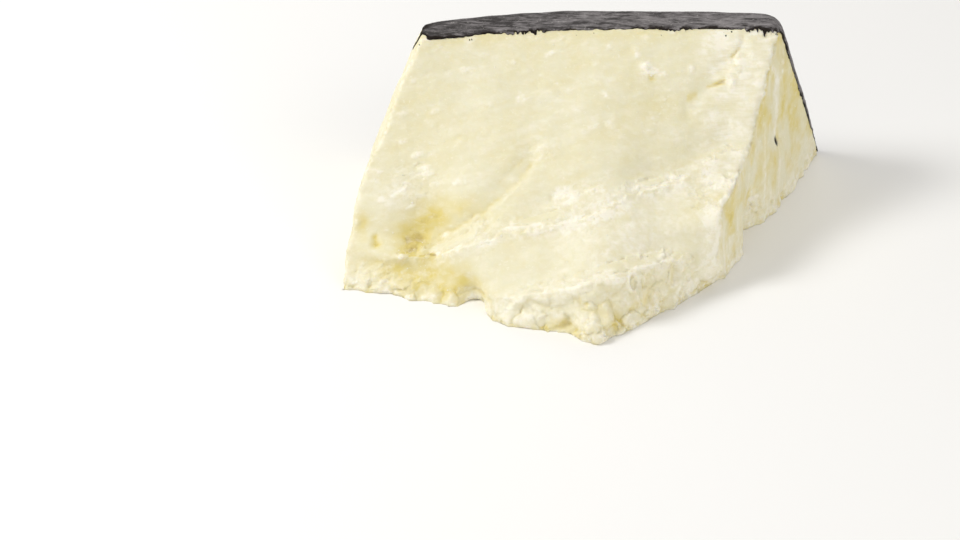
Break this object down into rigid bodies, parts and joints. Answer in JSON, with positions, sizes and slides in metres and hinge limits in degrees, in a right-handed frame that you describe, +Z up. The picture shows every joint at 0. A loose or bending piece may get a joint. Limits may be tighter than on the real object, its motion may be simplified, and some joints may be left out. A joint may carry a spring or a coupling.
{
  "type": "pecorino romano chunk",
  "caption": "Broken chunk of hard, pale sheep's-milk cheese with a dark rind on top and back, a wide sloping broken front and a flat base.",
  "frame": {"origin": "middle of the bounding box at the base, on the surface that the chunk stands on", "axes": "+X along the chunk's length from its left broken end to its right broken end, +Y from the sloping broken front to the rind at the back, +Z up"},
  "size_m": [0.2546, 0.1892, 0.0975],
  "materials": {
    "paste": "dry, slightly waxy ivory paste with granular broken faces",
    "rind": "thin dark grey to black rind with a dull sheen"
  },
  "bodies": {
    "root": {"pecorino_chunk": "paste"}
  },
  "joints": []
}
